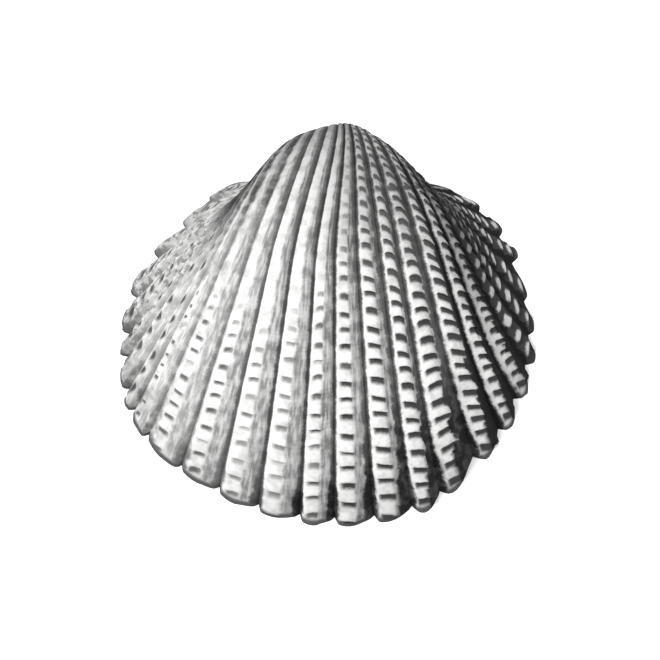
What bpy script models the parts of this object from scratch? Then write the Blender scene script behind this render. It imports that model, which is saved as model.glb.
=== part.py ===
"""One valve of a ribbed cockle shell, lying on its rim with the hollow side down.

The valve is modelled as it grew. Its edge is one flat outline, and every earlier edge is a
smaller copy of that outline, turned about the hinge line, so that the wall winds up to the
beak. Ribs are scallops in the edge, and scales are steps in the ribs where growth paused.
Z is up, +Y points from the gape to the beak, and X runs along the hinge line.
"""
import math

import bmesh
import bpy
import numpy as np

MM = 0.001

# The edge of the valve in its own plane, in mm from the middle of the hinge line, as the
# tops of the ribs reach it: from the left end of the hinge line, round the gape, to the right.
EDGE_OUTLINE = (
    (-7.3, 0.0), (-9.9, -0.1), (-12.8, -1.7), (-15.5, -4.5), (-18.7, -8.2), (-20.8, -12.4),
    (-21.6, -17.3), (-21.6, -22.0), (-20.1, -27.0), (-17.3, -30.5), (-13.4, -33.2),
    (-8.4, -35.8), (-3.4, -37.1), (1.5, -37.4), (6.3, -36.7), (10.7, -34.7), (14.0, -31.2),
    (17.0, -27.8), (18.9, -23.8), (20.0, -19.1), (19.8, -14.8), (18.9, -10.8), (17.1, -6.1),
    (14.4, -2.6), (10.7, -0.5), (7.2, 0.0),
)
# Plain strip beside the hinge, then the width of each rib along the edge, then the other strip.
LEFT_STRIP = 2.8
RIB_WIDTHS = (
    3.4, 4.0, 4.4, 5.1, 4.2, 2.5, 3.7, 2.4, 3.3, 5.0, 4.5, 4.5, 4.4, 3.6,
    4.1, 4.1, 3.5, 5.1, 4.1, 3.8, 4.0, 3.4, 3.8, 4.4, 3.2, 3.6, 3.4, 3.0,
)
# A rib's top runs between two shoulders. Each is (share of the rib's width, height), given for
# the left end of the edge, its middle and its right end. Ribs on the left lean to the gape.
LEFT_SHOULDERS = ((0.50, -0.35), (0.94, 0.0))
MIDDLE_SHOULDERS = ((0.18, -0.05), (0.78, -0.08))
RIGHT_SHOULDERS = ((0.16, 0.0), (0.74, -0.08))
GROOVE_DEPTH = 0.85           # between two ribs, at the edge
WING_RELIEF = 0.4             # the last ribs on the right stand out by this share of that
WING_SHARES = (0.71, 0.83)    # from here to there, as shares of the edge, they get lower
RELIEF_FADE = 4.0             # ribs flatten out this close to the hinge line
BEAK_RELIEF = (0.05, 0.17)    # they also flatten out from the larger to the smaller of these sizes

COIL_RATE = 1.32              # turn, in radians, for each e-fold of growth
COIL_LIMIT = math.radians(162.0)
COIL_KNEE = 6                 # how sharply the coil stops turning near the beak
YOUNG_STRETCH = (-0.04, 0.10)  # while the valve was small its left end was shorter, its right longer
STRETCHED_SIZES = (0.85, 0.4)  # the stretch grows from none to full between these sizes
STRETCHED_X = 12.0             # and from none to full over this distance from the middle, in mm
BEAK_LEAN = 5.0               # the beak's ribs lean this far to the right, in mm of the valve now
LEAN_SIZES = (0.575, 0.2)     # the lean grows from none to full between these sizes
LEAN_MIDDLE = -5.0            # it is full at this x of the edge, in mm,
LEAN_REACH = 17.0             # and fades out over this distance to both sides

SCALE_ROWS = 44               # growth pauses from the edge back to the beak
SCALE_SPACING = 0.75          # under 1, the early pauses lie closer together
LAST_SCALE = 1.3              # the newest scale is this much longer than the others
MODELLED_ROWS = 20            # the older rows are worn off the beak
SCALE_LIP = 0.3               # how far a scale's lip stands over the rib
LIP_RUN = 0.16                # the step from lip to foot, as a share of a scale
BEAK_SIZES = (0.36, 0.30, 0.24, 0.185, 0.135, 0.09, 0.05)

WALL = 1.7                    # thickness of the wall, measured in the plane of the edge
CRENULATION = 0.6             # share of the rib relief that shows inside the edge
CRENULATION_REACH = 0.12      # how far it runs up the inside, in e-folds of growth
HINGE_PLATE = 3.2             # the flat shelf inside the hinge line
INNER_STEPS = (0.0, 0.05, 0.14, 0.27, 0.42, 0.6, 0.8, 1.0)
OUTLINE_SAMPLES = 2001

SHELL_COLOUR = (0.80, 0.80, 0.79, 1.0)
SHELL_ROUGHNESS = 0.55


def smooth_step(value):
    """0 below 0, 1 above 1, and an even slope between."""
    value = np.clip(value, 0.0, 1.0)
    return value * value * (3.0 - 2.0 * value)


class Edge:
    """The valve's edge as a smooth curve, read by the distance along it in mm."""

    def __init__(self):
        knots = np.array(EDGE_OUTLINE)
        chords = np.linalg.norm(np.diff(knots, axis=0), axis=1)
        marks = np.concatenate(([0.0], np.cumsum(chords)))
        slopes = np.gradient(knots, marks, axis=0)
        reach = np.linspace(0.0, marks[-1], OUTLINE_SAMPLES)
        k = np.clip(np.searchsorted(marks, reach, side="right") - 1, 0, len(knots) - 2)
        span = (marks[k + 1] - marks[k])[:, None]
        t = (reach - marks[k])[:, None] / span
        self.points = (
            (2 * t**3 - 3 * t**2 + 1) * knots[k]
            + (t**3 - 2 * t**2 + t) * span * slopes[k]
            + (3 * t**2 - 2 * t**3) * knots[k + 1]
            + (t**3 - t**2) * span * slopes[k + 1]
        )
        steps = np.linalg.norm(np.diff(self.points, axis=0), axis=1)
        self.distance = np.concatenate(([0.0], np.cumsum(steps)))
        self.length = self.distance[-1]
        along = np.gradient(self.points, self.distance, axis=0)
        along /= np.linalg.norm(along, axis=1)[:, None]
        self.normals = np.stack((along[:, 1], -along[:, 0]), axis=1)

    def point(self, distance):
        return np.array([np.interp(distance, self.distance, self.points[:, i]) for i in (0, 1)])

    def outward(self, distance):
        return np.array([np.interp(distance, self.distance, self.normals[:, i]) for i in (0, 1)])


def coil_turn(age):
    """The angle, in radians, by which an edge of this age is turned about the hinge line."""
    turn = COIL_RATE * age
    return turn / (1.0 + (turn / COIL_LIMIT) ** COIL_KNEE) ** (1.0 / COIL_KNEE)


def grown(point, age):
    """Where a point of the plane of the edge lay at this age, still in that plane."""
    size = math.exp(-age)
    young = smooth_step((STRETCHED_SIZES[0] - size) / (STRETCHED_SIZES[0] - STRETCHED_SIZES[1]))
    end = YOUNG_STRETCH[1] if point[0] > 0 else YOUNG_STRETCH[0]
    stretch = 1.0 + end * young * smooth_step(abs(point[0]) / STRETCHED_X)
    leaning = smooth_step((LEAN_SIZES[0] - size) / (LEAN_SIZES[0] - LEAN_SIZES[1]))
    lean = BEAK_LEAN * leaning * (1.0 - smooth_step(abs(point[0] - LEAN_MIDDLE) / LEAN_REACH))
    return np.array([size * (stretch * point[0] + lean), size * point[1]])


def turned(point, age):
    """A point in the plane of an edge of this age, in space."""
    turn = coil_turn(age)
    return np.array([point[0], point[1] * math.cos(turn), -point[1] * math.sin(turn)])


def age_of_size(size):
    return -math.log(size)


def size_of_row(row):
    """How large the valve was, as a share of its size now, at a growth pause."""
    row += (LAST_SCALE - 1.0) * min(row, 1.0)
    return (1.0 - row / SCALE_ROWS) ** (1.0 / SCALE_SPACING)


def groove_distances():
    """Where the grooves on both sides of each rib meet the edge, with the plain strips at the ends."""
    return LEFT_STRIP + np.concatenate(([0.0], np.cumsum(RIB_WIDTHS)))


def shoulders_at(share_of_edge):
    """The two shoulders of the rib at this share of the edge, from left to right."""
    left, middle, right = (np.array(s) for s in (LEFT_SHOULDERS, MIDDLE_SHOULDERS, RIGHT_SHOULDERS))
    lean = math.cos(math.pi * share_of_edge)
    side = left if lean > 0 else right
    return middle + (side - middle) * smooth_step(1.1 * abs(lean))


def relief_share(share_of_edge):
    """How much of the full relief the ribs have at this share of the edge."""
    wing = smooth_step((share_of_edge - WING_SHARES[0]) / (WING_SHARES[1] - WING_SHARES[0]))
    return 1.0 - (1.0 - WING_RELIEF) * wing


def groove_depth(edge, distance):
    return GROOVE_DEPTH * relief_share(distance / edge.length)


def rib_columns(edge):
    """(distance along the edge, relief, scale share) of each column of the outside."""
    columns = [(0.0, 0.0, 0.0)]
    grooves = groove_distances()
    for start, width in zip(grooves, RIB_WIDTHS):
        columns.append((start, -groove_depth(edge, start), 0.0))
        for share, height in shoulders_at((start + width / 2) / edge.length):
            columns.append((start + share * width, height, 1.0))
    columns.append((grooves[-1], -groove_depth(edge, grooves[-1]), 0.0))
    columns.append((edge.length, 0.0, 0.0))
    return columns


def growth_rows():
    """(age, lip height) of each row of the outside, from the edge to the beak."""
    rows = []
    for row in range(MODELLED_ROWS):
        rows.append((age_of_size(size_of_row(row)), 0.0))
        rows.append((age_of_size(size_of_row(row + LIP_RUN)), SCALE_LIP))
    rows.extend((age_of_size(size), 0.0) for size in BEAK_SIZES)
    return rows


def outer_wall(bm, edge):
    """The ribbed and scaled outside. It returns its rows of vertices and the tip of the beak."""
    grid = []
    columns = rib_columns(edge)
    for age, lip in growth_rows():
        size = math.exp(-age)
        beak_fade = smooth_step((size - BEAK_RELIEF[0]) / (BEAK_RELIEF[1] - BEAK_RELIEF[0]))
        line = []
        for distance, relief, scaled in columns:
            base = edge.point(distance)
            fade = smooth_step(-base[1] / RELIEF_FADE) * beak_fade
            shifted = base + (relief + lip * scaled) * fade * edge.outward(distance)
            line.append(bm.verts.new(turned(grown(shifted, age), age) * MM))
        grid.append(line)
    tip = bm.verts.new((0.0, 0.0, 0.0))
    for below, above in zip(grid, grid[1:]):
        for i in range(len(columns) - 1):
            bm.faces.new((below[i], below[i + 1], above[i + 1], above[i]))
    for i in range(len(columns) - 1):
        bm.faces.new((grid[-1][i], grid[-1][i + 1], tip))
    return grid, tip


def inner_columns(edge):
    """(distance, relief) of the columns of the inside: each groove and crest clear of the hinge plate."""
    grooves = groove_distances()
    stations = [(groove, -groove_depth(edge, groove)) for groove in grooves]
    stations += [(groove + width / 2, 0.0) for groove, width in zip(grooves, RIB_WIDTHS)]
    clear = [s for s in sorted(stations) if inner_point(edge, *s, age=0.0)[1] < -1.2 * HINGE_PLATE]
    return clear


def inner_point(edge, distance, relief, age):
    """A point of the inside, which follows the outside at the wall's thickness."""
    shown = CRENULATION * relief * (1.0 - smooth_step(age / CRENULATION_REACH))
    inset = shown * math.exp(-age) - WALL
    return turned(grown(edge.point(distance), age) + inset * edge.outward(distance), age)


def age_at_plate(edge, distance, relief):
    """The age at which a column of the inside reaches the plane of the hinge plate's front."""
    ages = np.linspace(0.0, 2.0, 401)
    reach = np.array([inner_point(edge, distance, relief, age)[1] for age in ages])
    first = int(np.argmax(reach > -HINGE_PLATE))
    low, high = reach[first - 1], reach[first]
    return ages[first - 1] + (ages[1] - ages[0]) * (-HINGE_PLATE - low) / (high - low)


def plate_corner(edge, side):
    """The end of the hinge plate's front, where it meets the inside of the edge."""
    half = edge.length / 2
    distances = np.linspace(half, half - side * half, 800)
    for distance in distances:
        x, y, _ = inner_point(edge, distance, 0.0, 0.0)
        if y > -HINGE_PLATE:
            return np.array([x, -HINGE_PLATE, 0.0])
    raise ValueError("the hinge plate is deeper than the valve")


def inner_wall(bm, edge):
    """The smooth hollow and its back wall. It returns the loop where they meet the rim."""
    grid = []
    for distance, relief in inner_columns(edge):
        top = age_at_plate(edge, distance, relief)
        points = [inner_point(edge, distance, relief, step * top) for step in INNER_STEPS]
        points[-1][1] = -HINGE_PLATE
        grid.append([bm.verts.new(point * MM) for point in points])
    left = bm.verts.new(plate_corner(edge, 1) * MM)
    right = bm.verts.new(plate_corner(edge, -1) * MM)
    for this, after in zip(grid, grid[1:]):
        for j in range(len(INNER_STEPS) - 1):
            bm.faces.new((this[j], this[j + 1], after[j + 1], after[j]))
    for column, corner in ((grid[0], left), (grid[-1], right)):
        for j in range(len(INNER_STEPS) - 1):
            bm.faces.new((column[j], column[j + 1], corner))

    feet = [bm.verts.new((column[-1].co.x, -HINGE_PLATE * MM, 0.0)) for column in grid]
    heads = [column[-1] for column in grid]
    for i in range(len(grid) - 1):
        bm.faces.new((heads[i], heads[i + 1], feet[i + 1], feet[i]))
    bm.faces.new((left, heads[0], feet[0]))
    bm.faces.new((right, heads[-1], feet[-1]))
    return [left] + [column[0] for column in grid] + [right] + feet[::-1]


def rim(bm, grid, tip, inside):
    """The flat face that the valve lies on: the crenulated edge and the hinge plate."""
    outside = list(grid[0])
    outside += [line[-1] for line in grid[1:]] + [tip]
    outside += [line[0] for line in reversed(grid[1:])]
    edges = []
    for loop in (outside, inside):
        for first, second in zip(loop, loop[1:] + loop[:1]):
            edges.append(bm.edges.get((first, second)) or bm.edges.new((first, second)))
    bmesh.ops.triangle_fill(bm, use_beauty=True, edges=edges)


def shell_material():
    material = bpy.data.materials.new("shell")
    material.use_nodes = True
    shader = material.node_tree.nodes["Principled BSDF"]
    shader.inputs["Base Color"].default_value = SHELL_COLOUR
    shader.inputs["Roughness"].default_value = SHELL_ROUGHNESS
    shader.inputs["Metallic"].default_value = 0.0
    return material


def centre_on_base(bm):
    """Moves the valve so that the middle of its base, as a box, is the origin."""
    low = np.array([min(v.co[i] for v in bm.verts) for i in range(3)])
    high = np.array([max(v.co[i] for v in bm.verts) for i in range(3)])
    middle = (low + high) / 2
    bmesh.ops.translate(bm, verts=bm.verts, vec=(-middle[0], -middle[1], -low[2]))


def make_valve(collection):
    edge = Edge()
    bm = bmesh.new()
    grid, tip = outer_wall(bm, edge)
    inside = inner_wall(bm, edge)
    rim(bm, grid, tip, inside)
    bmesh.ops.recalc_face_normals(bm, faces=bm.faces)
    centre_on_base(bm)
    mesh = bpy.data.meshes.new("valve")
    bm.to_mesh(mesh)
    bm.free()
    mesh.shade_smooth()
    mesh.set_sharp_from_angle(angle=math.radians(40.0))
    mesh.materials.append(shell_material())
    valve = bpy.data.objects.new("valve", mesh)
    collection.objects.link(valve)
    return valve


def main():
    for old in list(bpy.data.objects):
        bpy.data.objects.remove(old)
    collection = bpy.data.collections.new("cockle_shell")
    bpy.context.scene.collection.children.link(collection)
    make_valve(collection)


main()
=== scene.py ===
"""One valve of a ribbed cockle shell, laid on its rim on a pale floor under soft light.

The fine surface follows the same rule of growth as the solid model: every earlier edge of the
valve is a smaller copy of its edge now, turned about the hinge line. The shape's values are in mm
from the middle of the hinge line; the finished mesh, the floor and the lights are in metres.
"""
import math

import bmesh
import bpy
import numpy as np
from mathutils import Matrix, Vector


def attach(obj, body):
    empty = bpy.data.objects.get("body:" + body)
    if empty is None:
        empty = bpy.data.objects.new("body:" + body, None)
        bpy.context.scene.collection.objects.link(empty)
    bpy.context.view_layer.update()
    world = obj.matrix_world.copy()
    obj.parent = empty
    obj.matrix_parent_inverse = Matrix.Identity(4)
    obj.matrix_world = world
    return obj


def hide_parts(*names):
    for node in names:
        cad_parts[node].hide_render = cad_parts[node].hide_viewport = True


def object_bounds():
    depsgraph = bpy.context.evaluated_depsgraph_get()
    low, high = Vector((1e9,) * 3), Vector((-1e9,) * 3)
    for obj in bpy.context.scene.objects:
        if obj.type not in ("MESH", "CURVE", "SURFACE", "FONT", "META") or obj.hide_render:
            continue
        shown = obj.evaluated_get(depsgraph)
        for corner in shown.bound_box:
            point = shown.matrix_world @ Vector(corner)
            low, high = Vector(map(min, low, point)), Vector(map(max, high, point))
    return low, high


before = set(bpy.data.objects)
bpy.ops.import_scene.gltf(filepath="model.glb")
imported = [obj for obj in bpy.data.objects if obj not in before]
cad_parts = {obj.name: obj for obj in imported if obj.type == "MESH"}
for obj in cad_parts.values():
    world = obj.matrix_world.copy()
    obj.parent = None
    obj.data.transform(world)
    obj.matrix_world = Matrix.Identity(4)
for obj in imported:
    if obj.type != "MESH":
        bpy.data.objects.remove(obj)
CAD_BOX = [list(corner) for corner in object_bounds()]

MM = 0.001
SEED = 28

# Shape, as in the solid model
HINGE_MIDDLE = (0.86, 16.81)  # where the middle of the hinge line lies in the part's frame
EDGE_OUTLINE = (
    (-7.3, 0.0), (-9.9, -0.1), (-12.8, -1.7), (-15.5, -4.5), (-18.7, -8.2), (-20.8, -12.4),
    (-21.6, -17.3), (-21.6, -22.0), (-20.1, -27.0), (-17.3, -30.5), (-13.4, -33.2),
    (-8.4, -35.8), (-3.4, -37.1), (1.5, -37.4), (6.3, -36.7), (10.7, -34.7), (14.0, -31.2),
    (17.0, -27.8), (18.9, -23.8), (20.0, -19.1), (19.8, -14.8), (18.9, -10.8), (17.1, -6.1),
    (14.4, -2.6), (10.7, -0.5), (7.2, 0.0),
)
LEFT_STRIP = 2.8              # smooth, before the first rib
RIB_WIDTHS = (
    3.4, 4.0, 4.4, 5.1, 4.2, 2.5, 3.7, 2.4, 3.3, 5.0, 4.5, 4.5, 4.4, 3.6,
    4.1, 4.1, 3.5, 5.1, 4.1, 3.8, 4.0, 3.4, 3.8, 4.4, 3.2, 3.6, 3.4, 3.0,
)
WING_RELIEF = 0.4             # the right wing's ribs have this share of the others' height
WING_SHARES = (0.71, 0.83)    # along the edge, where the wing begins and where it is whole
RELIEF_FADE = 4.0             # the ribs fade out this close to the hinge line
BEAK_RELIEF = (0.05, 0.17)    # and between these sizes, in shares of the valve now
COIL_RATE = 1.32              # how far it winds, in radians, while its size changes e-fold
COIL_LIMIT = math.radians(162.0)  # it can't wind further than this
COIL_KNEE = 6                 # how suddenly it comes to that
YOUNG_STRETCH = (-0.04, 0.10)  # while the valve was small its left end was shorter, its right longer
STRETCHED_SIZES = (0.85, 0.4)  # from the first of these sizes, and fully from the second down
STRETCHED_X = 12.0            # fully from this far from the middle
BEAK_LEAN = 5.0               # the beak's ribs lean this far to the right, in mm of the valve now
LEAN_SIZES = (0.575, 0.2)     # from and fully from these sizes down
LEAN_MIDDLE = -5.0
LEAN_REACH = 17.0             # to both sides of that middle
SCALE_ROWS = 44               # rows of scales from the edge to the beak's tip
SCALE_SPACING = 0.75          # below 1, the rows lie closer towards the beak
LAST_SCALE = 1.3              # the newest scale is this much longer than the others
WALL = 1.7                    # its thickness in the plane of the edge
HINGE_PLATE = 3.2             # from the hinge line to the plate's front
OUTLINE_SAMPLES = 4001
SIDE_STEEPNESS = 1.1          # how soon the middle's values give way to those of the ends

# Ribs: (share of a rib's width, height) across one rib, at the left end, middle and right end
LEFT_PROFILE = (
    (0.0, -0.85), (0.07, -0.66), (0.3, -0.46), (0.6, -0.2), (0.82, -0.03), (0.9, 0.0),
    (0.95, -0.12), (1.0, -0.85),
)
MIDDLE_PROFILE = (
    (0.0, -0.9), (0.05, -0.5), (0.1, -0.14), (0.2, -0.01), (0.38, 0.0), (0.52, -0.06),
    (0.7, -0.26), (0.88, -0.5), (1.0, -0.9),
)
RIGHT_PROFILE = (
    (0.0, -0.95), (0.05, -0.5), (0.11, -0.1), (0.2, 0.0), (0.42, -0.02), (0.58, -0.12),
    (0.72, -0.42), (0.86, -0.8), (1.0, -0.95),
)
RIB_SHARES = (0.0, 0.045, 0.1, 0.17, 0.27, 0.38, 0.5, 0.62, 0.73, 0.82, 0.9, 0.96)
STRIP_COLUMNS = 5

# Scales: the rows of a scale run from its foot, over the lip, back to the next foot
SCALE_SHARES = (0.0, 0.08, 0.16, 0.32, 0.55, 0.8)
SCALE_HEIGHTS = (0.0, 0.9, 1.0, 0.72, 0.36, 0.1)
RELIEF_ROWS = 34              # from here to the tip the beak has no scales
SMOOTHED_ROWS = 4.0           # the scales' arches fade out over the last of those rows
BEAK_STEPS = (0.11, 0.09, 0.07, 0.055, 0.04, 0.025, 0.012)  # sizes at the beak's last rows
BEAK_ROWS = 8                 # rows of scales that would fit past RELIEF_ROWS
EDGE_STEPS = 14               # cuts in each of the two newest scales
LIP_HEIGHT = 0.36
LIP_ARCH = 0.30               # how far the middle of a lip is set back from the edge, in rows
ARCH_MIDDLE = 0.38            # where on the rib that is
LEFT_SLOPE = 0.4              # how far a lip is set back on its way across a rib, in rows
LEFT_SLOPE_RUN = ((0.0, 0.1, 0.5, 1.0), (0.0, 0.0, 1.0, 0.0))
RIGHT_SLOPE = 1.0
RIGHT_SLOPE_RUN = ((0.0, 0.13, 0.65, 1.0), (0.0, 1.0, 0.0, 0.0))
RIGHT_WING_SLOPE = 0.2        # the right wing's beads have this share of that slope
STEEPEST_SIDE = 0.7           # lips slope most from here on towards both ends of the edge
WIDE_RIBS = (9, 22)           # before the first of these ribs and from the second on, a scale
WIDE_SCALE = 1.6              # is a bead, this many rows long
WING_SLOPE = 1.3              # rows by which the beads on the left slope across a rib
WING_SLOPE_RUN = ((0.0, 0.1, 0.8, 1.0), (0.0, 0.0, 1.0, 0.0))
BEAD_HEIGHT = 0.42
BEAD_SPANS = ((0.25, 0.85), (-0.2, 0.62))
LIP_SPANS = ((0.14, 0.54), (0.08, 0.66), (0.06, 0.95))  # across a rib: left, middle and right
LIP_SOFTNESS = 0.16
ROW_JITTER = 0.18
ROW_WANDER = 0.12
WANDER_RATES = (1.7, 2.3)     # per row and per rib
HEIGHT_JITTER = 0.25
SETTLED_ROWS = 1.6            # the edge itself has no arches; they are whole from here on
UV_ROWS = 48                  # rows from one side of the UV map to the other
UV_FIRST_ROW = -4

# Where scales are left: the beak is worn smooth, further down on the left than on the right
RIGHT_WEAR_COMES = (0.45, 0.58)  # along the edge, from here on it is worn as on the right
LEFT_WING_GOES = (0.16, 0.26)
MIDDLE_COMES = (0.42, 0.49)
BARE_SIZE = 0.53              # the left is bare up to the edge of this size
BARE_LESS_MIDDLE = 0.08       # by so much less in the middle and on the left wing
BARE_LESS_WING = 0.13
BARE_SIZE_RIGHT = 0.14
WORN_SIZES = 0.25             # scales get whole while the edge grows by this much
WORN_SIZES_RIGHT = 0.16
LIPS_LEFT = 0.55              # the share of their height that whole lips have on the left
LIPS_RIGHT = 0.45             # and how much more on the right and on the left wing
LIPS_LEFT_WING = 0.1

# The hollow
INSIDE_COLUMNS = 168
INSIDE_ROWS = 34
INSIDE_ROW_SPACING = 1.3      # above 1, the rows lie closer towards the edge
OLDEST_INSIDE = 2.0           # the hollow reaches its back wall before this age
INSIDE_SAMPLES = 801          # places tried to find the hinge plate: up a column,
EDGE_SAMPLES = 420            # along the edge
CORNER_SAMPLES = 2000         # and towards a corner
PLATE_CLEARANCE = 1.1         # the columns begin this many plates' depths from the hinge line
CRENULATION = 0.5             # depth of the notches inside the edge
CRENULATED_AGE = 0.12         # they are gone at this age
SHARP_ANGLE = math.radians(70.0)  # edges sharper than this aren't shaded smooth

# The looks. Unless a comment says otherwise, the numbers of a group mean: with two, a change begins
# and ends there; with three, it goes from the third down to 0; with four, from the third to the
# fourth.

# Changes along the edge: 0 at its left end, 1 at its right, counted in ribs
WING_GOES = (0.2, 0.34)
LEFT_GOES = (0.3, 0.42)
RIGHT_COMES = (0.46, 0.66)
FAR_RIGHT_COMES = (0.64, 0.78)

# Changes from row to row: 0 at the edge, SCALE_ROWS at the beak's tip
NEW_ROWS_GO = (0.0, 4.0)
OLD_ROWS_COME = (12.0, 20.0)
RIM_SHADOW = (0.12, 0.42)      # the painted shadow round the rim, where it meets the floor, fades out here
RIM_SHADOW_DARKNESS = 0.9
GROWTH_PAUSE = 20.3           # growth stopped here for a while and left a dark line
PAUSE_WIDTH = (0.12, 0.4)
PAUSE_COMES = (0.5, 0.62)
PAUSE_SHADE = 0.85
GROWTH_LINES = 4.0            # fine lines in each row
GROWTH_LINE_WIDTH = (0.1, 0.4)
GROWTH_LINE_HEIGHT = 0.4

# Colours, and noise in features to a metre
CLEAN = (0.83, 0.83, 0.82, 1.0)
WORN = (0.7, 0.7, 0.69, 1.0)
# the dark colour of dirt, and of the painted shade and shadows mixed in with it
SHADE_AND_DIRT = (0.014, 0.014, 0.014, 1.0)
BROAD_PATCHES = 420.0
PATCHES = 900.0
SPECKS = 1600.0
GRAIN = 4000.0
BLUR = 0.25                   # how far patches bend soft borders
ROUGHNESS = (0.55, 0.85)      # of clean shell and of the dark places, dirt and painted shade
GLOSS = (0.4, 0.12)           # inside and outside
RELIEF_STRENGTH = 0.25
RELIEF_DISTANCE = 0.0001      # in metres

# How far the grooves' painted shade and dirt spread from them: more where the valve was small, at the
# edge, in patches
SMALLEST_SIZE = 0.08
SPREAD_TAPER = 0.75
SPREAD_AT_EDGE = (0.0, 3.0, 1.3)
SPREAD_PATCHES = (0.3, 0.65, 0.75, 1.3)

# Painted shade and dirt on a rib's left and right side, in shares of the rib's width, and what its
# place adds
GROOVE_JITTER = 0.06
LEFT_SIDE = 0.07
LEFT_SIDE_LEFT = 0.12
LEFT_SIDE_FAR_RIGHT = -0.04
LEFT_SIDE_OLD_LEFT = 0.1
LEFT_SIDE_FULL = 0.35         # the share of the dirt's width that is quite dark
RIGHT_SIDE = 0.18
RIGHT_SIDE_RIGHT = 0.36
RIGHT_SIDE_THIN = (3.0, 10.0, 1.0, 0.4)  # from row to row, this share of the last value,
RIGHT_SIDE_THICK = (0.63, 0.68)  # but all of it from here on along the edge
RIGHT_SIDE_OLD = 0.12
RIGHT_SIDE_FAR_RIGHT = 0.18
RIGHT_SIDE_LEFT = -0.06
RIGHT_SIDE_SPREADS = 0.7      # the share of its width that spreads
RIGHT_SIDE_MOST = (0.45, 0.72)  # at most so wide, on the left and on the right
RIGHT_SIDE_SOFT = (0.6, 0.3)  # the soft share of that width, left and right
CHIPS = 0.2                   # how far single scales stand out into it on the right
# the grooves' painted shade gets darker towards the right, the side away from the light
DARKNESS = (0.36, 0.58, 0.52, 1.0)
DARKER_AT_EDGE = 0.3
DARKER_OLD = (13.0, 20.0, 0.0, 0.48)
PALER_RIBS = 0.13             # paler by so much on all but the right ribs, away from the edge
PALER_RIBS_COME = (3.0, 9.0)
PALER_RIBS_GO = (0.62, 0.68)
GROOVE_PATCHES = (0.32, 0.6)
GROOVE_PATCHES_LEAST = (0.92, 0.35)    # the painted shade and dirt left in clean patches, elsewhere and on the left
LINE_LEFT = (0.025, 0.06)     # the thin line of painted shade along each groove's bottom, on its two sides
LINE_RIGHT = (0.045, 0.1)
LINE_SHADE = (0.24, 0.46, 0.4, 0.92)

# Painted shadow under each lip, drawn as a dark slot: where in a scale's length, and how dark
SLOT_JITTER = 0.12            # for pits and beads too
SLOT_OPENS = 0.64
SLOT_OPENS_RIGHT = -0.18
SLOT_SOFT = (-0.04, 0.24)
SLOT_CLOSES = (0.0, 0.2)
SLOT_ENDS = 0.1               # no slot where less than this is left of a lip
SLOT_WHOLE = (0.34, 0.46, 0.5, 0.8)  # and a whole one where this much is left
SLOT_SHADE = (0.3, 0.5, 0.84, 0.94)
SLOT_SHADE_OLD = (10.0, 22.0, 1.0, 0.86)
KEPT_WING = -0.25             # what its place adds to a scale's chance of a dark slot of painted shadow
KEPT_LEFT_WING = 0.12
KEPT_RIGHT = 0.4
KEPT_SHADE = (-0.05, 0.25, 0.4, 1.0)

# Painted shade in pits on the left wing and between beads on the right: middle and radii, in shares of
# rib and scale
PIT_MIDDLE = 0.36
PIT_STRAYS = 0.3
PIT_RADII = (0.42, 0.46)
PIT_SHADE = (0.25, 1.0, 0.93)
BEAD_MIDDLE = (0.2, 0.5)
BEAD_RADII = (0.24, 0.32)
BEAD_GAP = (0.48, 0.92)
BEAD_WORN = (0.0, 0.3)        # gaps fade out where the beads are worn down to this

# Painted shade in grey streaks along the right flank of each rib, the side away from the light
STREAKS_TO_RIB = 9.0          # the noise's features to a rib and to a row
STREAKS_TO_ROW = 0.8
STREAK_NOISE = (0.34, 0.6)
STREAK_FAINT = (0.3, 0.46, 0.33, 0.54)
FLANK_FROM = (0.46, 0.34)     # on the left and on the right
FLANK_WHOLE = (0.62, 0.76)
FLANK_LEFT = 0.75             # fainter by this factor on the left
FLANK_PATCHES = (0.35, 0.6, 0.75, 1.0)
FLANK_SHADE = (0.44, 0.56, 0.73, 0.82)

# Mottling
MOTTLE_BROAD = (0.42, 0.62)
MOTTLE_WING = 0.55            # fainter by this factor on the left wing
MOTTLE_PATCHES = (0.35, 0.6, 0.5, 1.0)
MOTTLE_SPECKS = (0.46, 0.6, 0.0, 1.2)
MOTTLE_THIN = (0.42, 0.66, 0.0, 0.35)
MOTTLE_SHADE = 0.6

# Thin painted shade, partly plain grey tone: how dark, where along the edge it comes and goes, in which
# rows it comes and goes
SHADES = (
    (0.26, (0.64, 0.76), None, None, None),
    (0.14, None, (0.08, 0.2), None, None),
    (0.1, None, LEFT_GOES, None, None),
    (0.13, (0.12, 0.2), (0.26, 0.34), OLD_ROWS_COME, None),
    (0.6, None, WING_GOES, (10.0, 19.0), None),
    (-0.15, None, WING_GOES, None, NEW_ROWS_GO),
    (0.3, (0.1, 0.2), WING_GOES, None, NEW_ROWS_GO),
    (0.25, None, None, (30.0, 37.0), None),
    (0.24, None, RIGHT_COMES, (21.0, 29.0), None),
    (0.14, (0.44, 0.52), (0.62, 0.68), OLD_ROWS_COME, (22.0, 27.0)),
    (0.42, (0.6, 0.74), None, (2.0, 13.0), None),
    (0.16, None, None, None, (0.0, 5.0)),
)
OLD_SIZES = (0.2, 0.8)        # and darker by OLD_SHADE where the valve was small
OLD_SHADE = 0.52
DARKEST_SHADE = 0.9

# Marks inside
MANTLE_ROW = 9.0              # the mantle's line, in rows from the edge
MANTLE_WIDTH = (0.3, 0.7, 0.55)
MUSCLE_SCARS = ((-12.0, 7.5), (11.5, 8.0))  # in mm, in the part's frame
SCAR_RADII = (2.6, 3.6)
SCAR_BORDER = (0.7, 1.1, 0.7)
MARK_STRENGTH = 0.3
INSIDE_ENDS = 0.02            # marks end here on the way from the inside, 0, to the outside, 1

CAMERA_TILT = 22.0            # degrees off plumb
FOCAL_LENGTH = 300.0
SENSOR_WIDTH = 36.0
CLIP_START = 0.05             # in metres
PICTURE_WIDTH = 66.0          # mm of the hinge's plane that the picture spans
PICTURE_CENTRE = (-0.5, -18.4, 5.0)

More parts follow.
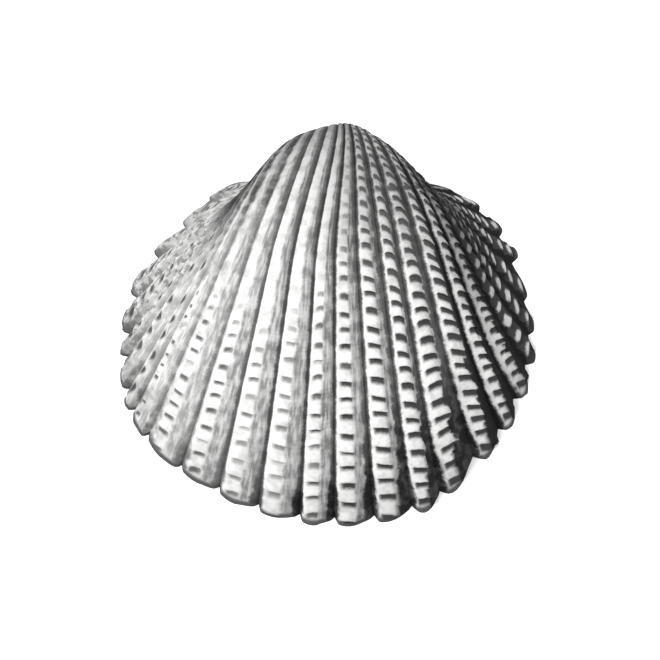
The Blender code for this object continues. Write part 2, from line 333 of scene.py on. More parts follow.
WHITE = (1.0, 1.0, 1.0, 1.0)
FLOOR_REACH = 2.0
FLOOR_GAP = 0.00002           # the floor lies this far under the rim
FLOOR_COLOURS = ((0.93, 0.93, 0.93, 1.0), (0.91, 0.91, 0.91, 1.0))
FLOOR_PATCHES = 40.0
FLOOR_ROUGHNESS = 0.9
FLOOR_GLOSS = 0.1
FLOOR_GLOW = 0.2
LIT_POINT = (0.0, 0.0, 0.005)
LIGHTS = (                    # name, place, size and power
    ("key", (-0.36, 0.12, 0.52), 0.24, 5.2),
    ("front_fill", (0.1, -0.5, 0.6), 0.6, 0.6),
    ("right_fill", (0.5, 0.0, 0.35), 0.4, 1.2),
)
WORLD_LIGHT = 0.36


def smooth_step(value):
    value = np.clip(value, 0.0, 1.0)
    return value * value * (3.0 - 2.0 * value)


def step_between(value, low, high):
    return smooth_step((value - low) / (high - low))


class Edge:
    """The valve's edge as a smooth curve, read by the distance along it in mm."""

    def __init__(self):
        knots = np.array(EDGE_OUTLINE)
        chords = np.linalg.norm(np.diff(knots, axis=0), axis=1)
        marks = np.concatenate(([0.0], np.cumsum(chords)))
        slopes = np.gradient(knots, marks, axis=0)
        reach = np.linspace(0.0, marks[-1], OUTLINE_SAMPLES)
        k = np.clip(np.searchsorted(marks, reach, side="right") - 1, 0, len(knots) - 2)
        span = (marks[k + 1] - marks[k])[:, None]
        t = (reach - marks[k])[:, None] / span
        self.points = (
            (2 * t**3 - 3 * t**2 + 1) * knots[k]
            + (t**3 - 2 * t**2 + t) * span * slopes[k]
            + (3 * t**2 - 2 * t**3) * knots[k + 1]
            + (t**3 - t**2) * span * slopes[k + 1]
        )
        steps = np.linalg.norm(np.diff(self.points, axis=0), axis=1)
        self.distance = np.concatenate(([0.0], np.cumsum(steps)))
        self.length = self.distance[-1]
        along = np.gradient(self.points, self.distance, axis=0)
        along /= np.linalg.norm(along, axis=1)[:, None]
        self.normals = np.stack((along[:, 1], -along[:, 0]), axis=1)

    def read(self, table, distance):
        return np.stack([np.interp(distance, self.distance, table[:, i]) for i in (0, 1)], axis=-1)

    def point(self, distance):
        return self.read(self.points, distance)

    def outward(self, distance):
        return self.read(self.normals, distance)


def coil_turn(age):
    turn = COIL_RATE * age
    return turn / (1.0 + (turn / COIL_LIMIT) ** COIL_KNEE) ** (1.0 / COIL_KNEE)


def grown(points, age):
    """Where points of the plane of the edge lay at an age, still in that plane."""
    size = np.exp(-age)
    young = smooth_step((STRETCHED_SIZES[0] - size) / (STRETCHED_SIZES[0] - STRETCHED_SIZES[1]))
    end = np.where(points[..., 0] > 0, YOUNG_STRETCH[1], YOUNG_STRETCH[0])
    stretch = 1.0 + end * young * smooth_step(np.abs(points[..., 0]) / STRETCHED_X)
    leaning = smooth_step((LEAN_SIZES[0] - size) / (LEAN_SIZES[0] - LEAN_SIZES[1]))
    off = np.abs(points[..., 0] - LEAN_MIDDLE) / LEAN_REACH
    lean = BEAK_LEAN * leaning * (1.0 - smooth_step(off))
    return np.stack((size * (stretch * points[..., 0] + lean), size * points[..., 1]), axis=-1)


def turned(points, age):
    """Points of the plane of an edge of this age, in space."""
    turn = coil_turn(age)
    y = points[..., 1]
    return np.stack((points[..., 0], y * np.cos(turn), -y * np.sin(turn)), axis=-1)


def size_of_row(row):
    row = row + (LAST_SCALE - 1.0) * np.clip(row, 0.0, 1.0)
    return (1.0 - row / SCALE_ROWS) ** (1.0 / SCALE_SPACING)


def row_of_size(size):
    return SCALE_ROWS * (1.0 - size ** SCALE_SPACING) - (LAST_SCALE - 1.0)


def groove_distances():
    return LEFT_STRIP + np.concatenate(([0.0], np.cumsum(RIB_WIDTHS)))


def blended_profile(shares, sides):
    """Height across a rib; side is -1 at the left end of the edge, 0 in its middle, 1 at the right."""
    heights = [
        np.interp(shares, *np.array(profile).T)
        for profile in (LEFT_PROFILE, MIDDLE_PROFILE, RIGHT_PROFILE)
    ]
    return by_side(sides, *heights)


class Columns:
    """The columns of the outside, from one end of the hinge line round to the other."""

    def __init__(self, edge):
        grooves = groove_distances()
        strip = np.linspace(0.0, 1.0, STRIP_COLUMNS + 1)[:-1]
        distance = [strip * grooves[0]]
        rib = [np.zeros(STRIP_COLUMNS)]
        share = [strip]
        for i, width in enumerate(RIB_WIDTHS):
            distance.append(grooves[i] + np.array(RIB_SHARES) * width)
            rib.append(np.full(len(RIB_SHARES), i + 1.0))
            share.append(np.array(RIB_SHARES))
        last = np.linspace(0.0, 1.0, STRIP_COLUMNS + 1)
        distance.append(grooves[-1] + last * (edge.length - grooves[-1]))
        rib.append(np.full(len(last), len(RIB_WIDTHS) + 1.0))
        share.append(last)
        self.distance = np.concatenate(distance)
        self.rib = np.concatenate(rib).astype(int)
        self.share = np.concatenate(share)
        self.along = self.distance / edge.length
        self.side = -np.cos(np.pi * self.along)
        self.ribbed = (self.rib > 0) & (self.rib <= len(RIB_WIDTHS))
        self.left_wing = self.rib < WIDE_RIBS[0]
        self.right_wing = self.rib >= WIDE_RIBS[1]
        self.base = edge.point(self.distance)
        self.outward = edge.outward(self.distance)


def by_side(sides, left, middle, right):
    """A value that changes along the edge from its left end over its middle to its right end."""
    weight = smooth_step(SIDE_STEEPNESS * np.abs(sides))
    return middle + (np.where(sides < 0, left, right) - middle) * weight


def lip_window(columns):
    """Where a lip stands on each rib: 1 on its crest, 0 beside it."""
    starts, ends = np.array(LIP_SPANS).T
    start = by_side(columns.side, *starts)
    end = by_side(columns.side, *ends)
    for beaded, (first, last) in zip((columns.left_wing, columns.right_wing), BEAD_SPANS):
        start = np.where(beaded, first, start)
        end = np.where(beaded, last, end)
    rise = smooth_step((columns.share - start) / LIP_SOFTNESS)
    fall = smooth_step((end - columns.share) / LIP_SOFTNESS)
    return np.where(columns.ribbed, rise * fall, 0.0)


def crown(share):
    """1 on the middle of a rib, 0 in the grooves."""
    return np.sin(np.pi * np.clip(share, 0.0, 1.0))


def scaliness(columns, size):
    """How much of the scales is left: the left of the beak is worn smooth."""
    right = step_between(columns.along, *RIGHT_WEAR_COMES)
    left_wing = 1.0 - step_between(columns.along, *LEFT_WING_GOES)
    middle = step_between(columns.along, *MIDDLE_COMES)
    bare = BARE_SIZE - BARE_LESS_MIDDLE * middle - BARE_LESS_WING * left_wing
    left_whole = step_between(size, bare, bare + WORN_SIZES)
    right_whole = step_between(size, BARE_SIZE_RIGHT, BARE_SIZE_RIGHT + WORN_SIZES_RIGHT)
    whole = left_whole + (right_whole - left_whole) * right
    strength = LIPS_LEFT + LIPS_RIGHT * right + LIPS_LEFT_WING * left_wing
    return whole * strength


def grid_rows():
    """The rows of the outside's grid, from the edge to the beak."""
    fine = [row + np.linspace(0.0, 1.0, EDGE_STEPS + 1)[:-1] for row in (0, 1)]
    coarse = [row + np.array(SCALE_SHARES) for row in range(2, RELIEF_ROWS)]
    return np.concatenate(fine + coarse + [row_of_size(np.array(BEAK_STEPS))])


def set_back(columns, rows, rng):
    """How far the scales lie back from their rows, so that their lips arch and slope."""
    jitter = rng.uniform(-ROW_JITTER, ROW_JITTER, len(RIB_WIDTHS) + 2)
    phase = WANDER_RATES[0] * rows[:, None] + WANDER_RATES[1] * columns.rib
    wander = ROW_WANDER * np.sin(phase)
    uneven = (jitter[columns.rib] + wander) * crown(columns.share)
    arch = LIP_ARCH * np.clip(1.0 - (columns.share / ARCH_MIDDLE - 1.0) ** 2, 0.0, 1.0)
    steep = np.clip(np.abs(columns.side) / STEEPEST_SIDE, 0.0, 1.0)
    left = LEFT_SLOPE * np.interp(columns.share, *LEFT_SLOPE_RUN)
    right = RIGHT_SLOPE * np.interp(columns.share, *RIGHT_SLOPE_RUN)
    slope = steep * np.where(columns.side < 0, left, right)
    beads = WING_SLOPE * np.interp(columns.share, *WING_SLOPE_RUN)
    slope = np.where(columns.left_wing, beads, slope)
    slope = np.where(columns.right_wing, RIGHT_WING_SLOPE * slope, slope)
    return np.where(columns.ribbed, uneven + arch + slope, 0.0)


def outside_grid(columns, rng):
    """Points of the outside by row and column, with the scales, the row and what is left of them."""
    rows = grid_rows()
    shift = set_back(columns, rows, rng)
    settle = smooth_step(rows / SETTLED_ROWS)[:, None]
    smooth_beak = 1.0 - step_between(rows, RELIEF_ROWS - SMOOTHED_ROWS, RELIEF_ROWS)[:, None]
    scales = rows[:, None] - shift * (1.0 - settle)
    n = rows[:, None] + shift * settle * smooth_beak
    size = size_of_row(n)
    age = -np.log(size)

    narrow = np.interp(scales % 1.0, SCALE_SHARES + (1.0,), SCALE_HEIGHTS + (0.0,))
    beads = np.sin(np.pi * (scales / WIDE_SCALE % 1.0))
    is_wide = columns.left_wing | columns.right_wing
    lips = np.where(is_wide[None, :], BEAD_HEIGHT * beads, LIP_HEIGHT * narrow)
    lips[rows > RELIEF_ROWS] = 0.0

    wing = step_between(columns.along, *WING_SHARES)
    profile = blended_profile(columns.share, columns.side) * (1.0 - (1.0 - WING_RELIEF) * wing)
    relief = np.where(columns.ribbed, profile, 0.0)
    scaly = scaliness(columns, size) * lip_window(columns)
    uneven = rng.standard_normal((RELIEF_ROWS + BEAK_ROWS, len(RIB_WIDTHS) + 2))
    which = np.clip(rows.astype(int), 0, len(uneven) - 1)
    lips *= scaly * (1.0 + HEIGHT_JITTER * uneven[which][:, columns.rib])
    fade = smooth_step(-columns.base[:, 1] / RELIEF_FADE)
    beak_fade = step_between(size, *BEAK_RELIEF)
    height = (relief[None, :] + lips) * fade[None, :] * beak_fade
    plane = columns.base[None] + height[..., None] * columns.outward[None]
    plane[..., 1] = np.minimum(plane[..., 1], 0.0)
    return turned(grown(plane, age), age), scales, n, scaly


def inner_relief(distance, age):
    """Crenulations inside the edge, in step with the ribs outside."""
    grooves = groove_distances()
    rib = np.clip(np.searchsorted(grooves, distance, side="right") - 1, 0, len(RIB_WIDTHS) - 1)
    share = (distance - grooves[rib]) / np.array(RIB_WIDTHS)[rib]
    wave = crown(np.clip(share, 0.0, 1.0)) - 1.0
    inside = (distance > grooves[0]) & (distance < grooves[-1])
    wave = np.where(inside, wave, 0.0)
    return CRENULATION * wave * (1.0 - smooth_step(age / CRENULATED_AGE))


def inner_points(edge, distance, age):
    inset = inner_relief(distance, age) * np.exp(-age) - WALL
    plane = grown(edge.point(distance), age) + inset[..., None] * edge.outward(distance)
    return turned(plane, age)


def inside_grid(edge):
    """Points of the hollow and their ages, by column, up to the plane of the hinge plate's front."""
    distance = np.linspace(0.0, edge.length, EDGE_SAMPLES)
    start = inner_points(edge, distance, np.zeros_like(distance))
    clear = distance[start[:, 1] < -PLATE_CLEARANCE * HINGE_PLATE]
    distance = np.linspace(clear[0], clear[-1], INSIDE_COLUMNS)
    ages = np.linspace(0.0, OLDEST_INSIDE, INSIDE_SAMPLES)
    grid = []
    for d in distance:
        reach = inner_points(edge, np.full_like(ages, d), ages)[:, 1]
        first = int(np.argmax(reach > -HINGE_PLATE))
        low, high = reach[first - 1], reach[first]
        top = ages[first - 1] + (ages[1] - ages[0]) * (-HINGE_PLATE - low) / (high - low)
        steps = top * np.linspace(0.0, 1.0, INSIDE_ROWS) ** INSIDE_ROW_SPACING
        points = inner_points(edge, np.full_like(steps, d), steps)
        points[-1, 1] = -HINGE_PLATE
        grid.append((points, steps))
    return grid


def plate_corner(edge, side):
    """Where the hinge plate's front meets the hollow's wall: side is 1 on the left, -1 on the right."""
    half = edge.length / 2
    distances = np.linspace(half, half - side * half, CORNER_SAMPLES)
    points = inner_points(edge, distances, np.zeros_like(distances))
    x = points[int(np.argmax(points[:, 1] > -HINGE_PLATE)), 0]
    return np.array([x, -HINGE_PLATE, 0.0])


class ValveMesh:
    """The valve's mesh while it is built, with what the material reads at its points."""

    def __init__(self):
        self.bm = bmesh.new()
        self.uv = self.bm.loops.layers.uv.new("growth")
        self.scaly = self.bm.verts.layers.float.new("scaly")
        self.row = self.bm.verts.layers.float.new("row")
        self.outer = self.bm.verts.layers.float.new("outer")
        self.shift = Vector((HINGE_MIDDLE[0], HINGE_MIDDLE[1], 0.0))

    def point(self, place, row, scaly=0.0, outer=0.0):
        vert = self.bm.verts.new((Vector(place) + self.shift) * MM)
        vert[self.row] = float(row)
        vert[self.scaly] = float(scaly)
        vert[self.outer] = outer
        return vert

    def foot(self, head):
        """A point in the plane of the rim, under another one."""
        vert = self.bm.verts.new((head.co.x, head.co.y, 0.0))
        vert[self.row] = head[self.row]
        return vert

    def face(self, *verts):
        return self.bm.faces.new(verts)

    def edges(self, loop):
        """The edges of a closed loop of points, old ones where there are any."""
        pairs = list(zip(loop, loop[1:] + loop[:1]))
        return [self.bm.edges.get(pair) or self.bm.edges.new(pair) for pair in pairs]


def build_outside(mesh, columns):
    """The outside's faces; returns the points of its edge, round to the beak's tip."""
    places, scales, rows, scaly = outside_grid(columns, np.random.default_rng(SEED))
    grid = []
    for line in zip(places, rows, scaly):
        grid.append([mesh.point(*values, 1.0) for values in zip(*line)])
    tip = mesh.point((0.0, 0.0, 0.0), rows[-1, 0], outer=1.0)

    across = (columns.rib + columns.share) / (len(RIB_WIDTHS) + 2)
    up = (scales - UV_FIRST_ROW) / UV_ROWS
    for j in range(len(grid) - 1):
        for i in range(len(across) - 1):
            corners = ((j, i), (j, i + 1), (j + 1, i + 1), (j + 1, i))
            face = mesh.face(*[grid[row][column] for row, column in corners])
            for loop, (row, column) in zip(face.loops, corners):
                loop[mesh.uv].uv = (across[column], up[row, column])
    for i in range(len(across) - 1):
        face = mesh.face(grid[-1][i], grid[-1][i + 1], tip)
        for loop in face.loops:
            loop[mesh.uv].uv = (across[i], up[-1, i])
    right_end = [line[-1] for line in grid[1:]]
    left_end = [line[0] for line in reversed(grid[1:])]
    return grid[0] + right_end + [tip] + left_end


def build_hollow(mesh, edge):
    """The hollow and the hinge plate's front; returns the points of their edge."""
    walls = []
    for places, ages in inside_grid(edge):
        rows = row_of_size(np.exp(-ages))
        walls.append([mesh.point(place, row) for place, row in zip(places, rows)])
    ends = (walls[0], walls[-1])
    heads = [column[-1] for column in walls]
    corners = []
    for side, column in zip((1, -1), ends):
        corners.append(mesh.point(plate_corner(edge, side), column[-1][mesh.row]))
    for this, after in zip(walls, walls[1:]):
        for j in range(len(this) - 1):
            mesh.face(this[j], this[j + 1], after[j + 1], after[j])
    for column, corner in zip(ends, corners):
        for j in range(len(column) - 1):
            mesh.face(column[j], column[j + 1], corner)
    feet = [mesh.foot(head) for head in heads]
    for i in range(len(heads) - 1):
        mesh.face(heads[i], heads[i + 1], feet[i + 1], feet[i])
    for end, corner in zip((0, -1), corners):
        mesh.face(corner, heads[end], feet[end])
    return [corners[0]] + [column[0] for column in walls] + [corners[1]] + feet[::-1]


def make_valve():
    edge = Edge()
    mesh = ValveMesh()
    around = build_outside(mesh, Columns(edge))
    inside = build_hollow(mesh, edge)
    rim = mesh.edges(around) + mesh.edges(inside)
    bmesh.ops.triangle_fill(mesh.bm, use_beauty=True, edges=rim)
    bmesh.ops.recalc_face_normals(mesh.bm, faces=mesh.bm.faces)

    data = bpy.data.meshes.new("shell_valve")
    mesh.bm.to_mesh(data)
    mesh.bm.free()
    data.shade_smooth()
    data.set_sharp_from_angle(angle=SHARP_ANGLE)
    valve = bpy.data.objects.new("shell_valve", data)
    bpy.context.scene.collection.objects.link(valve)
    return valve


class Graph:
    """Short calls for building a material's nodes."""

    def __init__(self, material):
        material.use_nodes = True
        self.tree = material.node_tree
        self.shader = self.tree.nodes["Principled BSDF"]

    def node(self, kind, **settings):
        node = self.tree.nodes.new(kind)
        for name, value in settings.items():
            setattr(node, name, value)
        return node

    def link(self, value, socket):
        if isinstance(value, (int, float, tuple)):
            socket.default_value = value
        else:
            self.tree.links.new(value, socket)

    def math(self, operation, *values):
        node = self.node("ShaderNodeMath", operation=operation)
        for value, socket in zip(values, node.inputs):
            self.link(value, socket)
        return node.outputs[0]

    def chain(self, operation, values):
        result = values[0]
        for value in values[1:]:
            result = self.math(operation, result, value)
        return result

    def total(self, *values):
        return self.chain("ADD", values)

    def less(self, value, other):
        return self.math("SUBTRACT", value, other)

    def product(self, *values):
        return self.chain("MULTIPLY", values)

    def largest(self, *values):
        return self.chain("MAXIMUM", values)

    def ramp(self, value, low, high, at_low=0.0, at_high=1.0):
        """A smooth change from one value to another while the input goes from low to high."""
        node = self.node("ShaderNodeMapRange", interpolation_type="SMOOTHSTEP")
        numbers = (value, low, high, at_low, at_high)
        for number, socket in zip(numbers, node.inputs):
            self.link(number, socket)
        return node.outputs[0]

    def fall(self, value, low, high, at_low=1.0):
        """A smooth change down to 0."""
        return self.ramp(value, low, high, at_low, 0.0)

    def blend(self, share, first, second):
        """A value that changes from the first to the second while the share goes from 0 to 1."""
        return self.ramp(share, 0.0, 1.0, first, second)

    def noise(self, vector, scale, detail):
        node = self.node("ShaderNodeTexNoise")
        self.link(vector, node.inputs["Vector"])
        node.inputs["Scale"].default_value = scale
        node.inputs["Detail"].default_value = detail
        node.inputs["Roughness"].default_value = 0.5
        return node.outputs["Fac"]

    def attribute(self, name):
        return self.node("ShaderNodeAttribute", attribute_name=name).outputs["Fac"]

    def split(self, vector):
        node = self.node("ShaderNodeSeparateXYZ")
        self.link(vector, node.inputs[0])
        return node.outputs

    def joined(self, x, y):
        node = self.node("ShaderNodeCombineXYZ")
        self.link(x, node.inputs[0])
        self.link(y, node.inputs[1])
        return node.outputs[0]

    def oval(self, across, along, half_width, half_height):
        """How far a place is from an oval's middle: 1 on its edge."""
        x = self.math("POWER", self.math("DIVIDE", across, half_width), 2.0)
        y = self.math("POWER", self.math("DIVIDE", along, half_height), 2.0)
        return self.math("SQRT", self.total(x, y))

    def chance(self, column, row):
        """An even chance from 0 to 1 for each scale."""
        node = self.node("ShaderNodeTexWhiteNoise", noise_dimensions="2D")
        self.link(self.joined(column, row), node.inputs["Vector"])
        return node.outputs["Value"]

    def mix(self, factor, first, second):
        """Two colours mixed; the node has the sockets for colours at 6 and 7, and at 2."""
        node = self.node("ShaderNodeMix", data_type="RGBA")
        self.link(factor, node.inputs[0])
        self.link(first, node.inputs[6])
        self.link(second, node.inputs[7])
        return node.outputs[2]


class Growth:
    """What the material knows of each place: its rib, row and scale, and the patches there."""

    def __init__(self, g):
        across, up = g.split(g.node("ShaderNodeUVMap", uv_map="growth").outputs[0])[:2]
        self.along = across
        self.ribs = g.product(across, float(len(RIB_WIDTHS) + 2))
        self.share = g.math("FRACT", self.ribs)
        self.left_wing = g.math("LESS_THAN", self.ribs, float(WIDE_RIBS[0]))
        self.right_wing = g.math("GREATER_THAN", self.ribs, float(WIDE_RIBS[1]))
        self.wide = g.largest(self.left_wing, self.right_wing)
        lips = g.total(g.product(up, float(UV_ROWS)), float(UV_FIRST_ROW))
        length = g.total(1.0, g.product(self.wide, WIDE_SCALE - 1.0))
        self.scales = g.math("DIVIDE", lips, length)
        self.nearest_foot = g.total(self.scales, 0.5)  # its whole part numbers the scales' feet

        self.rows = g.attribute("row")
        self.scaly = g.attribute("scaly")
        self.outer = g.attribute("outer")
        size = g.less(1.0, g.math("DIVIDE", self.rows, float(SCALE_ROWS)))
        self.size = g.math("POWER", g.largest(size, 0.0), 1.0 / SCALE_SPACING)

        self.wing = g.fall(across, *WING_GOES)
        self.left = g.fall(across, *LEFT_GOES)
        self.right = g.ramp(across, *RIGHT_COMES)
        self.far_right = g.ramp(across, *FAR_RIGHT_COMES)

        self.place = g.node("ShaderNodeTexCoord").outputs["Object"]
        self.patchy = g.noise(self.place, PATCHES, 4.0)
        self.grain = g.noise(self.place, GRAIN, 4.0)
        self.speck = g.less(self.grain, 0.5)
        self.blur = g.product(g.less(self.patchy, 0.5), BLUR)
        self.luck = g.chance(g.math("FLOOR", self.ribs), g.math("FLOOR", self.nearest_foot))


def groove_shade_spread(g, at):
    """How far the painted shade and dirt spread at this place, as a factor of its width."""
    taper = g.math("POWER", g.largest(at.size, SMALLEST_SIZE), SPREAD_TAPER)
    near_edge = g.total(1.0, g.fall(at.rows, *SPREAD_AT_EDGE))
    patches = g.ramp(at.patchy, *SPREAD_PATCHES)
    return g.product(g.math("DIVIDE", 1.0, taper), near_edge, patches)


# painted shade and dirt in the groove on a rib's left side
def shade_and_dirt_left_of_rib(g, at, share, spread):
    old = g.ramp(at.rows, *OLD_ROWS_COME, 0.0, LEFT_SIDE_OLD_LEFT)
    width = g.total(LEFT_SIDE, g.product(at.left, LEFT_SIDE_LEFT),
                    g.product(at.far_right, LEFT_SIDE_FAR_RIGHT), g.product(at.left, old))
    width = g.product(width, spread)
    return g.fall(share, g.product(width, LEFT_SIDE_FULL), width)


# painted shade and dirt on a rib's right side, wider towards the right, away from the light
def shade_and_dirt_right_of_rib(g, at, share, spread):
    thick = g.largest(g.ramp(at.rows, *RIGHT_SIDE_THIN), g.ramp(at.along, *RIGHT_SIDE_THICK))
    old = g.ramp(at.rows, *OLD_ROWS_COME, 0.0, RIGHT_SIDE_OLD)
    width = g.total(RIGHT_SIDE, g.product(at.right, thick, RIGHT_SIDE_RIGHT),
                    g.product(g.less(1.0, at.right), old),
                    g.product(at.far_right, RIGHT_SIDE_FAR_RIGHT),
                    g.product(at.left, RIGHT_SIDE_LEFT))
    spreads = g.total(g.product(spread, RIGHT_SIDE_SPREADS), 1.0 - RIGHT_SIDE_SPREADS)
    width = g.math("MINIMUM", g.product(width, spreads), g.blend(at.right, *RIGHT_SIDE_MOST))
    chipped = g.product(g.less(at.luck, 0.5), at.right, CHIPS)
    start = g.total(g.less(1.0, width), chipped)
    full = g.total(start, g.product(width, g.blend(at.right, *RIGHT_SIDE_SOFT)))
    return g.ramp(share, start, full)


def groove_shade_and_dirt(g, at):
    """Painted shade and dirt in the grooves, filling more of them towards the right, the side away from
    the light.
    """
    share = g.total(at.share, g.product(at.speck, GROOVE_JITTER))
    spread = groove_shade_spread(g, at)
    painted_shade_and_dirt = g.largest(shade_and_dirt_left_of_rib(g, at, share, spread),
                     shade_and_dirt_right_of_rib(g, at, share, spread))
    darkness = g.total(g.ramp(at.along, *DARKNESS),
                       g.fall(at.rows, *NEW_ROWS_GO, DARKER_AT_EDGE),
                       g.ramp(at.rows, *DARKER_OLD))
    pale = g.product(g.ramp(at.rows, *PALER_RIBS_COME), g.fall(at.along, *PALER_RIBS_GO), PALER_RIBS)
    patchy_groove = g.ramp(at.patchy, *GROOVE_PATCHES, g.blend(at.left, *GROOVE_PATCHES_LEAST), 1.0)
    painted_shade_and_dirt = g.product(painted_shade_and_dirt, g.math("MINIMUM", darkness, 1.0), g.less(1.0, pale),
                     g.largest(patchy_groove, at.right))
    left_line = g.fall(share, *[g.product(spread, width) for width in LINE_LEFT])
    right_line = g.fall(g.less(1.0, share), *[g.product(spread, width) for width in LINE_RIGHT])
    line = g.product(g.largest(left_line, right_line), g.ramp(at.along, *LINE_SHADE), patchy_groove)
    return g.largest(painted_shade_and_dirt, line)


def lip_shadows(g, at, jitter):
    """A dark slot of painted shadow lies under the lip of each scale."""
    step = g.total(g.math("FRACT", at.scales), jitter)
    opens = g.total(SLOT_OPENS, g.product(at.right, SLOT_OPENS_RIGHT))
    shadow = g.largest(g.ramp(step, *[g.total(opens, soft) for soft in SLOT_SOFT]),
                     g.fall(step, *SLOT_CLOSES))
    ends = g.ramp(at.scaly, SLOT_ENDS, g.ramp(at.along, *SLOT_WHOLE))
    return g.product(shadow, ends, g.less(1.0, at.wide))


def wing_pit_shade(g, at, jitter):
    """Round spots of painted shade in the pits between the long scales of the left wing."""
    aside = g.less(at.share, g.total(PIT_MIDDLE, g.product(at.luck, PIT_STRAYS)))
    foot = g.total(g.less(g.math("FRACT", at.nearest_foot), 0.5), jitter)
    return g.product(g.fall(g.oval(aside, foot, *PIT_RADII), *PIT_SHADE), at.left_wing)


def wing_gap_shade(g, at, jitter):
    """Painted shade in the gaps between the pale beads of the right wing."""
    step = g.total(g.math("FRACT", at.scales), jitter)
    bead = g.oval(g.less(at.share, BEAD_MIDDLE[0]), g.less(step, BEAD_MIDDLE[1]), *BEAD_RADII)
    return g.product(g.ramp(bead, *BEAD_GAP), g.ramp(at.scaly, *BEAD_WORN), at.right_wing)


def scale_shadows(g, at):
    """Painted shadows beside the scales, some of them fainter by chance."""
    jitter = g.product(at.speck, SLOT_JITTER)
    shadow = g.total(lip_shadows(g, at, jitter), wing_pit_shade(g, at, jitter), wing_gap_shade(g, at, jitter))
    kept = g.total(at.luck, g.product(at.wing, KEPT_WING),
                   g.product(at.left_wing, KEPT_LEFT_WING), g.product(at.right, KEPT_RIGHT))
    return g.product(shadow, g.ramp(kept, *KEPT_SHADE),
                     g.largest(g.ramp(at.along, *SLOT_SHADE), at.left_wing),
                     g.ramp(at.rows, *SLOT_SHADE_OLD))


def flank_shade_streaks(g, at):
    """The right flank of each rib, away from the light, has painted grey shade, streaked along the rib.
    """
    place = g.joined(g.product(at.ribs, STREAKS_TO_RIB), g.product(at.rows, STREAKS_TO_ROW))
    streaks = g.ramp(g.noise(place, 1.0, 2.0), *STREAK_NOISE, g.ramp(at.along, *STREAK_FAINT), 1.0)
    flank = g.ramp(g.total(at.share, at.blur), g.blend(at.right, *FLANK_FROM),
                   g.blend(at.right, *FLANK_WHOLE))
    return g.product(flank, streaks, g.blend(at.left, 1.0, FLANK_LEFT),
                     g.ramp(at.patchy, *FLANK_PATCHES), g.ramp(at.along, *FLANK_SHADE))


def mottling(g, at):
    """Grey patches on the left, specks on its wing, and thin patches everywhere."""
    broad = g.ramp(g.noise(at.place, BROAD_PATCHES, 3.0), *MOTTLE_BROAD)
    patches = g.product(at.left, broad, g.blend(at.wing, 1.0, MOTTLE_WING),
                        g.ramp(at.patchy, *MOTTLE_PATCHES))
    specks = g.product(at.wing, g.ramp(g.noise(at.place, SPECKS, 2.0), *MOTTLE_SPECKS))
    mottle = g.largest(patches, specks, g.ramp(at.patchy, *MOTTLE_THIN))
    return g.product(mottle, MOTTLE_SHADE)


def growth_pause(g, at):
    """A dark line across the ribs, where growth stopped for a while."""
    away = g.math("ABSOLUTE", g.less(g.total(at.rows, at.blur), GROWTH_PAUSE))
    return g.product(g.fall(away, *PAUSE_WIDTH), g.ramp(at.along, *PAUSE_COMES), PAUSE_SHADE)


def thin_shade(g, at):
    """Thin painted shade, and grey tone, over the whole outside, more of it towards the beak."""
    shade = g.product(g.fall(at.size, *OLD_SIZES), OLD_SHADE)
    for amount, comes, goes, rows_come, rows_go in SHADES:
        changes = (
            (g.ramp, at.along, comes), (g.fall, at.along, goes),
            (g.ramp, at.rows, rows_come), (g.fall, at.rows, rows_go),
        )
        for change, value, span in changes:
            if span:
                amount = g.product(change(value, *span), amount)
        shade = g.total(shade, amount)
    return g.math("MINIMUM", shade, DARKEST_SHADE)


def outside_shade_and_dirt(g, at):
    """How dark each place outside is, from dirt and painted shade; thin painted shade covers what isn't
    dark already.
    """
    dark = g.largest(groove_shade_and_dirt(g, at), scale_shadows(g, at), flank_shade_streaks(g, at),
                     mottling(g, at), growth_pause(g, at),
                     # a painted shadow along the rim
                     g.fall(at.rows, *RIM_SHADOW, RIM_SHADOW_DARKNESS))
    rest = g.product(g.less(1.0, dark), thin_shade(g, at))
    return g.product(g.total(dark, rest), at.outer)


def inside_marks(g, at):
    """Inside, the mantle and the two closing muscles have left their marks."""
    x, y = g.split(at.place)[:2]
    away = g.math("ABSOLUTE", g.less(at.rows, g.total(MANTLE_ROW, at.blur)))
    marks = g.fall(away, *MANTLE_WIDTH)
    for middle_x, middle_y in MUSCLE_SCARS:
        scar = g.oval(g.less(x, middle_x * MM), g.less(y, middle_y * MM),
                      *[radius * MM for radius in SCAR_RADII])
        marks = g.largest(marks, g.fall(g.total(scar, at.blur), *SCAR_BORDER))
    return g.product(marks, g.fall(at.outer, 0.0, INSIDE_ENDS, MARK_STRENGTH))


def shell_relief(g, at):
    """Grain all over, and fine growth lines outside."""
    lines = g.math("FRACT", g.product(at.rows, GROWTH_LINES))
    lines = g.ramp(g.math("ABSOLUTE", g.less(lines, 0.5)), *GROWTH_LINE_WIDTH)
    bump = g.node("ShaderNodeBump")
    bump.inputs["Strength"].default_value = RELIEF_STRENGTH
    bump.inputs["Distance"].default_value = RELIEF_DISTANCE
    height = g.total(at.grain, g.product(lines, at.outer, GROWTH_LINE_HEIGHT))
    g.link(height, bump.inputs["Height"])
    return bump.outputs[0]


def shell_material():
    """Chalky off-white under dark dirt and painted shade, glossier inside."""
    material = bpy.data.materials.new("shell")
    g = Graph(material)
    at = Growth(g)
    dark = g.total(outside_shade_and_dirt(g, at), inside_marks(g, at))
    # dark mixes in the colour of dirt and painted shade
    colour = g.mix(dark, g.mix(at.patchy, CLEAN, WORN), SHADE_AND_DIRT)
    g.link(colour, g.shader.inputs["Base Color"])
    g.link(g.blend(dark, *ROUGHNESS), g.shader.inputs["Roughness"])
    g.link(g.blend(at.outer, *GLOSS), g.shader.inputs["Specular IOR Level"])
    g.link(shell_relief(g, at), g.shader.inputs["Normal"])
    return material


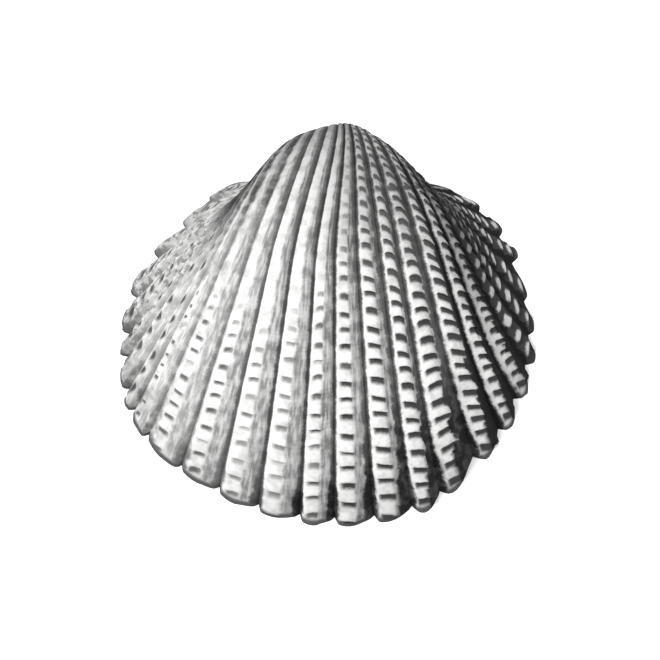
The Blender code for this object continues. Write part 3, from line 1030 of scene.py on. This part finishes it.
def floor_material():
    material = bpy.data.materials.new("floor")
    g = Graph(material)
    place = g.node("ShaderNodeTexCoord").outputs["Object"]
    tone = g.noise(place, FLOOR_PATCHES, 2.0)
    g.link(g.mix(tone, *FLOOR_COLOURS), g.shader.inputs["Base Color"])
    g.shader.inputs["Roughness"].default_value = FLOOR_ROUGHNESS
    g.shader.inputs["Specular IOR Level"].default_value = FLOOR_GLOSS
    g.shader.inputs["Emission Color"].default_value = WHITE
    g.shader.inputs["Emission Strength"].default_value = FLOOR_GLOW
    return material


def make_floor():
    mesh = bpy.data.meshes.new("floor")
    bm = bmesh.new()
    bmesh.ops.create_grid(bm, x_segments=1, y_segments=1, size=FLOOR_REACH)
    bm.to_mesh(mesh)
    bm.free()
    mesh.materials.append(floor_material())
    floor = bpy.data.objects.new("floor", mesh)
    floor.location = (0.0, 0.0, CAD_BOX[0][2] - FLOOR_GAP)
    bpy.context.scene.collection.objects.link(floor)


def aim(thing, target):
    thing.rotation_euler = (Vector(target) - thing.location).to_track_quat("-Z", "Y").to_euler()


def add_light(name, location, size, energy):
    data = bpy.data.lights.new(name, "AREA")
    data.shape = "DISK"
    data.size = size
    data.energy = energy
    light = bpy.data.objects.new(name, data)
    light.location = location
    aim(light, LIT_POINT)
    bpy.context.scene.collection.objects.link(light)


def add_lights():
    for light in LIGHTS:
        add_light(*light)
    world = bpy.data.worlds.new("studio")
    world.use_nodes = True
    background = world.node_tree.nodes["Background"]
    background.inputs["Color"].default_value = WHITE
    background.inputs["Strength"].default_value = WORLD_LIGHT
    bpy.context.scene.world = world


def add_camera():
    data = bpy.data.cameras.new("camera")
    data.lens = FOCAL_LENGTH
    data.sensor_width = SENSOR_WIDTH
    data.clip_start = CLIP_START
    distance = PICTURE_WIDTH * MM * FOCAL_LENGTH / SENSOR_WIDTH
    camera = bpy.data.objects.new("camera", data)
    centre = (Vector(PICTURE_CENTRE) + Vector((*HINGE_MIDDLE, 0.0))) * MM
    tilt = math.radians(CAMERA_TILT)
    camera.location = centre + distance * Vector((0.0, -math.sin(tilt), math.cos(tilt)))
    camera.rotation_euler = (tilt, 0.0, 0.0)
    bpy.context.scene.collection.objects.link(camera)
    bpy.context.scene.camera = camera


valve = make_valve()
valve.data.materials.append(shell_material())
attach(valve, "root")
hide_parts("valve")
make_floor()
add_lights()
add_camera()
bpy.context.scene.view_settings.view_transform = "Standard"
